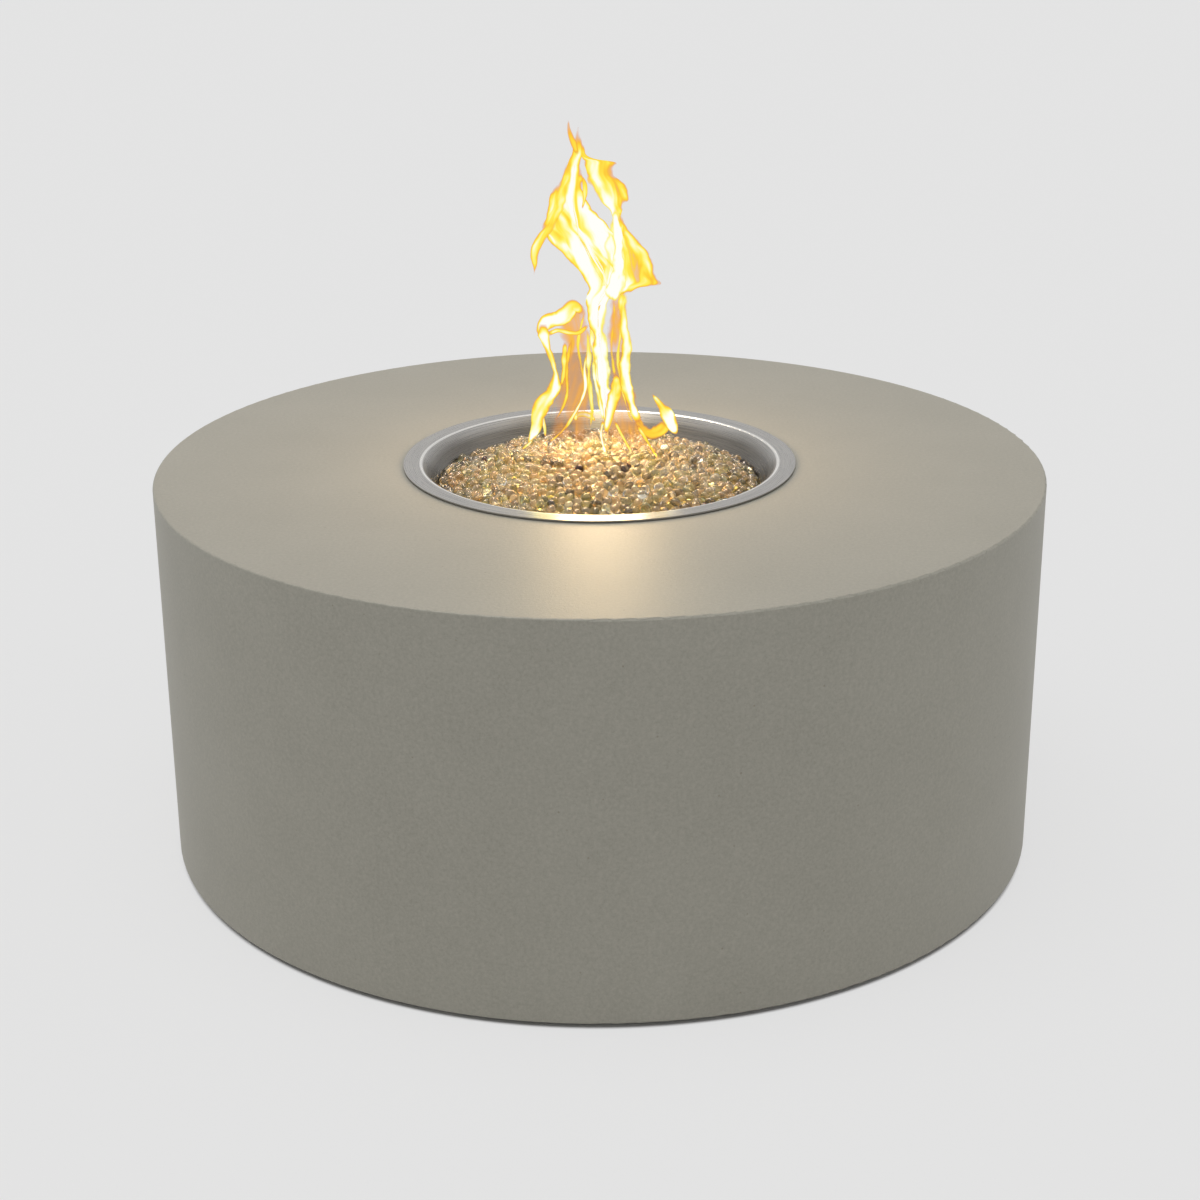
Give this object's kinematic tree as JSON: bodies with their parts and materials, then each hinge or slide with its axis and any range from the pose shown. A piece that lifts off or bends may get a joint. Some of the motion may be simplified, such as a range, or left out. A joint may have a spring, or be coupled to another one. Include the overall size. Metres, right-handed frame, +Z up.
{
  "type": "gas fire pit table",
  "caption": "Round concrete fire pit table with a drop-in stainless burner pan, a ring burner under a bed of fire glass, and gas controls, vents and a hinged service door at the back.",
  "frame": {"origin": "centre of the round footprint, on the floor under the feet", "axes": "+Z up; +Y towards the back, where the service door is; -Y towards the plain side that the picture shows"},
  "size_m": [1.067, 1.0668, 0.488],
  "materials": {
    "cast_concrete": "matte",
    "gasket_fibre": "matte",
    "brushed_stainless": "satin",
    "stainless_tube": "satin",
    "plated_steel": "satin",
    "brass": "satin",
    "white_ceramic": "satin",
    "fire_glass": "gloss",
    "die_cast_aluminium": "satin",
    "satin_chrome": "satin",
    "black_plastic": "matte",
    "gloss_black_plastic": "gloss",
    "battery_sleeve": "gloss",
    "hose_rubber": "matte",
    "lead_silicone": "satin",
    "copper_sheath": "satin",
    "galvanised_steel": "satin",
    "painted_door": "matte",
    "painted_grille": "satin",
    "foot_rubber": "matte"
  },
  "bodies": {
    "table": {"shell": "cast_concrete", "pan_gasket": "gasket_fibre", "burner_pan": "brushed_stainless", "ring_burner": "stainless_tube", "burner_lock_nut": "plated_steel", "burner_elbow": "plated_steel", "air_mixer": "brass", "gas_orifice": "brass", "igniter_hood": "brushed_stainless", "probe_plate": "brushed_stainless", "spark_electrode": "white_ceramic", "thermocouple_probe": "stainless_tube", "fire_glass": "fire_glass", "control_panel": "brushed_stainless", "panel_screws": "plated_steel", "gas_valve": "die_cast_aluminium", "valve_neck_nut": "plated_steel", "igniter_housing": "black_plastic", "igniter_battery": "battery_sleeve", "igniter_spring": "plated_steel", "igniter_nut": "black_plastic", "inlet_fitting": "brass", "inlet_washers": "plated_steel", "inlet_lock_nut": "brass", "inlet_elbow": "brass", "flare_nuts": "brass", "burner_hose": "hose_rubber", "supply_hose": "hose_rubber", "ignition_lead": "lead_silicone", "thermocouple_lead": "copper_sheath", "door_frame": "galvanised_steel", "frame_screws": "plated_steel", "hinge_frame_leaves": "brushed_stainless", "hinge_pins": "stainless_tube", "vent_grille_right": "painted_grille", "vent_grille_left": "painted_grille", "vent_screws": "plated_steel", "foot_pads": "foot_rubber", "foot_screws": "plated_steel"},
    "valve_spindle": {"valve_plug": "brass"},
    "control_knob": {"control_knob": "satin_chrome", "valve_stem": "plated_steel"},
    "igniter_button": {"igniter_button": "gloss_black_plastic"},
    "access_door": {"door_leaf": "painted_door", "hinge_door_leaves": "brushed_stainless", "latch_housing": "satin_chrome", "latch_nut": "plated_steel"},
    "door_latch": {"latch_knob": "satin_chrome", "latch_cam": "plated_steel", "cam_screw": "plated_steel"}
  },
  "joints": [
    {"name": "valve_turn", "type": "hinge", "parent": "table", "child": "valve_spindle", "pos_m": [0.31078, 0.39298, 0.32], "axis": [0.6691, 0.7431, 0], "range_deg": [0, 180]},
    {"name": "knob_push", "type": "slide", "parent": "valve_spindle", "child": "control_knob", "axis": [-0.6691, -0.7431, 0], "range_m": [0, 0.003], "stiffness_N_per_m": 1500},
    {"name": "igniter_push", "type": "slide", "parent": "table", "child": "igniter_button", "axis": [-0.6691, -0.7431, 0], "range_m": [0, 0.004], "stiffness_N_per_m": 1000},
    {"name": "door_swing", "type": "hinge", "parent": "table", "child": "access_door", "pos_m": [-0.1865, 0.50434, 0.216], "axis": [0, 0, 1], "range_deg": [0, 110]},
    {"name": "latch_turn", "type": "hinge", "parent": "access_door", "child": "door_latch", "pos_m": [0.16082, 0.4945, 0.216], "axis": [0.3093, 0.951, 0], "range_deg": [0, 90]}
  ]
}
